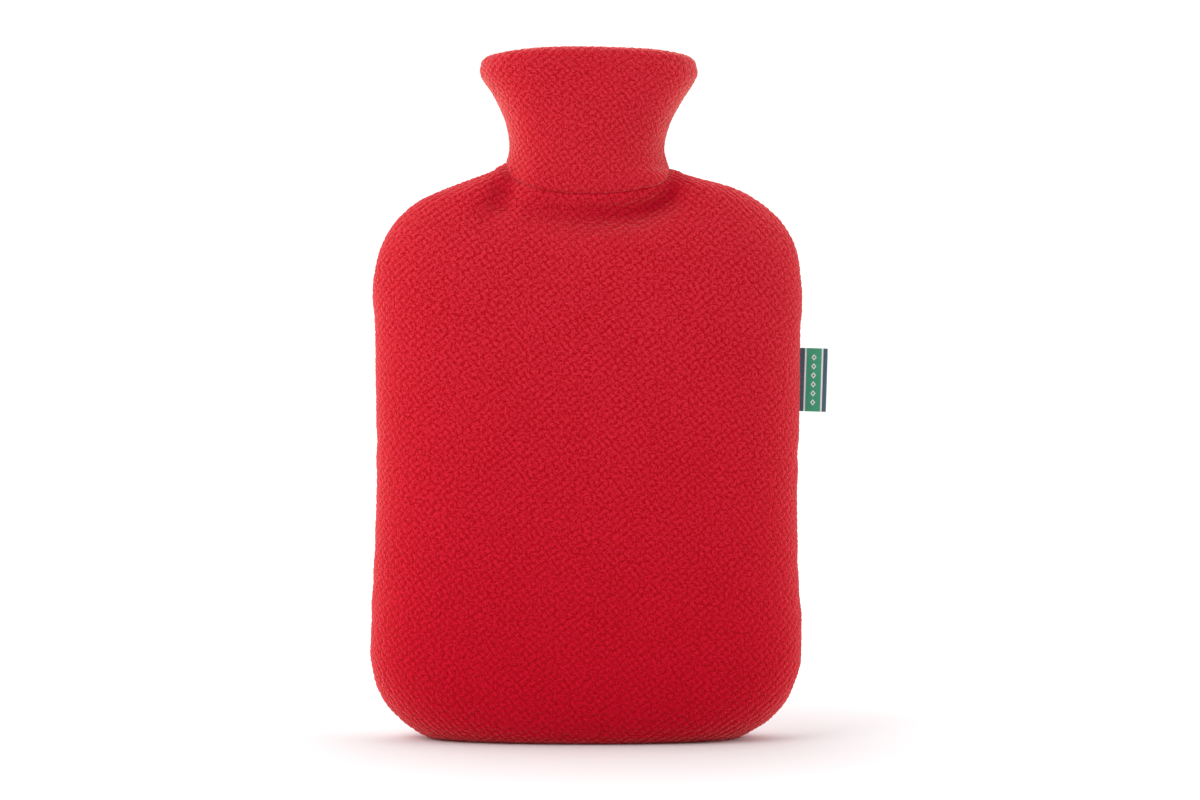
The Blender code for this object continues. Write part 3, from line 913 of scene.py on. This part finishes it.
class FleeceSettings(bpy.types.PropertyGroup):
    """What a user would change about the fleece"""

    # the pits' darkness is partly painted shade, and the tips' paleness partly a painted sheen
    pit_with_painted_shade: colour_property("Pits", "Colour deep between the nubs", (0.41, 0.0, 0.006))
    tip: colour_property("Tips", "Colour of the fuzzy tips", (0.63, 0.0215, 0.043))
    # painted shade: what the colours are multiplied by, deeper and darker red towards the base
    # and plain at the shoulders
    low_painted_shade: colour_property("Low hue", "What the colours are multiplied by at the base",
                             (1.0, 0.05, 0.62))
    high_painted_shade: colour_property("High hue", "The same at the shoulders and above", (1.0, 1.0, 1.0))
    # painted shade in the hollows below the collar and along the neck seam
    hollow_painted_shade: colour_property("Hollow hue", "The same in the hollows below the collar",
                                (0.80, 0.05, 0.55))
    contrast: FloatProperty(name="Contrast", description="Between the pits and the tips",
                            default=2.15, min=0.0, max=6.0)
    sheen: share_property("Sheen", "Soft glow of the fibres at the edges", 1.0)
    sheen_roughness: share_property("Sheen spread", "How far in it reaches", 0.45)
    sheen_tint: colour_property("Sheen tint", "Colour of that glow", (1.0, 0.25, 0.235))
    collar_sheen_tint: colour_property("Collar sheen tint", "The same on the collar",
                                       (1.0, 0.38, 0.33))
    bump: millimetres("Fine relief", "Height of the curls", 0.55, 0.0, 3.0)
    pitch: millimetres("Nub pitch", "Between the panels' nubs", 2.55, 1.0, 12.0)
    height: millimetres("Nub height", "Of the panels' nubs", 0.55, 0.0, 3.0)
    collar_pitch: millimetres("Collar nub pitch", "Between the collar's nubs", 2.35, 1.0, 12.0)
    collar_height: millimetres("Collar nub height", "Of the collar's nubs", 0.45, 0.0, 3.0)


class LabelSettings(bpy.types.PropertyGroup):
    """What a user would change about the label"""

    ground: colour_property("Ground", "Colour of the ribbon", (0.058, 0.114, 0.155))
    green: colour_property("Band", "Colour of the woven band", (0.045, 0.365, 0.200))
    pale: colour_property("Lines", "Colour of the lines and diamonds", (0.85, 0.87, 0.89))
    band_start: millimetres("Band start", "How far it is from the fold", 3.0, 0.0, 12.0)
    band_end: millimetres("Band end", "How far it is from the fold", 11.2, 0.0, 14.0)
    diamond_pitch: millimetres("Diamond pitch", "Between the diamonds", 4.4, 1.0, 20.0)


class StageSettings(bpy.types.PropertyGroup):
    """What a user would change about the stage"""

    floor: colour_property("Floor", "Colour of the floor under the cover", (0.79, 0.79, 0.795))
    surround: FloatProperty(name="Surround", description="Strength of the surround behind",
                            default=1.12, min=0.0, max=5.0)
    upper_back: brightness("Upper back", 0.35)
    upper_left: brightness("Upper left", 1.3)
    upper_right: brightness("Upper right", 1.4)
    left: brightness("Left", 1.65)
    right: brightness("Right", 1.8)
    overhead: FloatProperty(name="Overhead", description="Power of the softbox above",
                            default=3.0, min=0.0, max=500.0, unit="POWER")
    lens: FloatProperty(name="Lens", description="Focal length of the camera",
                        default=73.8, min=10.0, max=300.0, unit="CAMERA")
    distance: FloatProperty(name="Distance", description="From the camera to the cover",
                            default=1.2, min=0.3, max=5.0, unit="LENGTH")
    seed: IntProperty(name="Seed", description="Changes how the cloth sags and puckers",
                      default=1, min=1, max=99)


# ---- operators for the pieces


class BOTTLECOVER_OT_panels(bpy.types.Operator):
    """Makes the front and back panels"""

    bl_idname = "bottlecover.panels"
    bl_label = "Sew the panels"

    def execute(self, context):
        settings, seed = context.scene.cover_fleece, context.scene.cover_stage.seed
        material = fleece_material("body fleece", settings, settings.pitch / MM,
                                   settings.sheen_tint)
        for number, side in enumerate(("front", "back")):
            # a piece draws with its own seed and with the next one
            piece = make_panel(side, settings, seed + 2 * number)
            finish_piece(piece, side + "_panel", material)
        return {"FINISHED"}


class BOTTLECOVER_OT_collar(bpy.types.Operator):
    """Makes the doubled collar"""

    bl_idname = "bottlecover.collar"
    bl_label = "Fold the collar"

    def execute(self, context):
        settings, seed = context.scene.cover_fleece, context.scene.cover_stage.seed
        material = fleece_material("collar fleece", settings, settings.collar_pitch / MM,
                                   settings.collar_sheen_tint)
        piece = make_collar(settings, seed + 5)
        finish_piece(piece, "collar", material)
        return {"FINISHED"}


class BOTTLECOVER_OT_label(bpy.types.Operator):
    """Makes the folded ribbon label"""

    bl_idname = "bottlecover.label"
    bl_label = "Fold the label"

    def execute(self, context):
        piece = make_label()
        finish_piece(piece, "side_label", ribbon_material(context.scene.cover_label))
        return {"FINISHED"}


# ---- the stage, in metres

SOFTBOX_PLACE = (-0.5, -0.5, 0.75)
SOFTBOX_SIZE = 0.5
EYE_X, EYE_HEIGHT = 0.0063, 0.1648
FLOOR_REACH = 14.0
FLOOR_PAINTED_LIGHT_SPAN = (0.10, 0.30)  # from the middle: where the floor's colour starts to whiten as painted light, and where it has
# the far floor's colour, lighter as painted light
FAR_FLOOR_PAINTED_LIGHT = (0.97, 0.97, 0.97)
SURROUND_DARK, SURROUND_BRIGHT = -0.5, 0.15  # how far back, from -1 in front to 1 behind


def make_softbox(power):
    """A soft light above the cover, from the left in front. It faces the cover's middle."""
    light = bpy.data.lights.new("overhead", "AREA")
    light.shape, light.size, light.energy = "SQUARE", SOFTBOX_SIZE, power
    box = put_in_scene("overhead", light)
    box.location = SOFTBOX_PLACE
    box.visible_camera = False
    middle = (CAD_BOX[0] + CAD_BOX[1]) / 2
    towards = Vector(middle) - Vector(SOFTBOX_PLACE)
    box.rotation_euler = towards.to_track_quat("-Z", "Y").to_euler()


def make_camera(lens, distance):
    """The camera that took the picture: level, and straight in front of the cover."""
    camera = bpy.data.cameras.new("camera")
    camera.lens, camera.sensor_width, camera.sensor_fit = lens, 36.0, "HORIZONTAL"
    eye = put_in_scene("camera", camera)
    eye.location = (EYE_X, -distance, EYE_HEIGHT)
    eye.rotation_euler = (radians(90), 0, 0)
    bpy.context.scene.camera = eye


def make_floor(colour):
    """A pale floor whose colour is painted lighter away from the cover: painted light that keeps
    it white into the surround where the lamps' light falls off.
    """
    corners = ((-1, -1), (1, -1), (1, 1), (-1, 1))
    mesh = bpy.data.meshes.new("floor")
    mesh.from_pydata([(x * FLOOR_REACH, y * FLOOR_REACH, 0) for x, y in corners], [],
                     [(0, 1, 2, 3)])
    material, tree, shader = new_material("pale floor")
    place = add(tree, "ShaderNodeNewGeometry").outputs["Position"]
    away = add(tree, "ShaderNodeVectorMath", {0: place}, operation="LENGTH")
    # painted light: the floor's colour whitens away from the cover, where the lamps' light falls
    # off
    far = ramp(tree, away.outputs["Value"], *FLOOR_PAINTED_LIGHT_SPAN, soft=True)
    fill(tree, shader, {"Base Color": mixed(tree, far, colour, FAR_FLOOR_PAINTED_LIGHT),
                        "Roughness": 0.9, "Specular IOR Level": 0.1})
    mesh.materials.append(material)
    floor = put_in_scene("floor", mesh)


def make_surround(settings):
    """A surround that lights the cover from behind and from both sides, and hardly from in
    front. It is seen as white all round."""
    world = bpy.data.worlds.new("white surround")
    world.use_nodes = True
    tree = world.node_tree
    way = add(tree, "ShaderNodeTexCoord").outputs["Generated"]
    depth = add(tree, "ShaderNodeSeparateXYZ", {0: way}).outputs[1]
    strength = ramp(tree, depth, SURROUND_DARK, SURROUND_BRIGHT, settings.surround, soft=True)
    # each brighter side: how much, the way towards it, and how narrow it is
    sides = ((settings.upper_back, (0.0, 0.6, 0.8), 6.0),
             (settings.upper_left / 3, (-0.80, -0.30, 0.52), 2.0),
             (settings.upper_left * 2 / 3, (-0.80, -0.30, 0.52), 8.0),
             (settings.upper_right, (0.85, -0.25, 0.46), 8.0),
             (settings.left, (-0.993, 0.0, 0.119), 8.0),
             (settings.right, (0.993, 0.0, 0.119), 8.0))
    for extra, towards, narrow in sides:
        faced = add(tree, "ShaderNodeVectorMath", {0: way, 1: towards}, operation="DOT_PRODUCT")
        faced = calc(tree, "MAXIMUM", faced.outputs["Value"], 0.0)
        lobe = calc(tree, "MULTIPLY", calc(tree, "POWER", faced, narrow), extra)
        strength = calc(tree, "ADD", lobe, strength)
    # the dark part of the surround shapes the light, but isn't seen
    seen = add(tree, "ShaderNodeLightPath").outputs["Is Camera Ray"]
    strength = calc(tree, "MAXIMUM", strength, seen)
    fill(tree, tree.nodes["Background"], {"Color": (1.0, 1.0, 1.0, 1.0), "Strength": strength})
    bpy.context.scene.world = world


class BOTTLECOVER_OT_stage(bpy.types.Operator):
    """Sets the floor, the lights and the camera"""

    bl_idname = "bottlecover.stage"
    bl_label = "Set the stage"

    def execute(self, context):
        settings = context.scene.cover_stage
        make_floor(settings.floor)
        make_surround(settings)
        make_softbox(settings.overhead)
        make_camera(settings.lens, settings.distance)
        context.scene.view_settings.view_transform = "Standard"
        return {"FINISHED"}


# ---- the add-on

OPERATORS = (BOTTLECOVER_OT_panels, BOTTLECOVER_OT_collar, BOTTLECOVER_OT_label,
             BOTTLECOVER_OT_stage)
SETTINGS = {"cover_fleece": FleeceSettings, "cover_label": LabelSettings,
            "cover_stage": StageSettings}


class BOTTLECOVER_PT_sidebar(bpy.types.Panel):
    """Lists the cover's pieces and their settings"""

    bl_idname = "BOTTLECOVER_PT_sidebar"
    bl_label = "Bottle cover"
    bl_space_type = "VIEW_3D"
    bl_region_type = "UI"
    bl_category = "Bottle cover"

    def draw(self, context):
        for operator in OPERATORS:
            self.layout.operator(operator.bl_idname)
        for name, group in SETTINGS.items():
            box = self.layout.box()
            for prop in group.__annotations__:
                box.prop(getattr(context.scene, name), prop)


CLASSES = (*SETTINGS.values(), *OPERATORS, BOTTLECOVER_PT_sidebar)


def register():
    for cls in CLASSES:
        bpy.utils.register_class(cls)
    for name, group in SETTINGS.items():
        setattr(bpy.types.Scene, name, PointerProperty(type=group))


def unregister():
    for name in SETTINGS:
        delattr(bpy.types.Scene, name)
    for cls in reversed(CLASSES):
        bpy.utils.unregister_class(cls)


def main():
    register()
    bpy.ops.bottlecover.panels()
    bpy.ops.bottlecover.collar()
    bpy.ops.bottlecover.label()
    bpy.ops.bottlecover.stage()


if __name__ == "__main__":
    main()
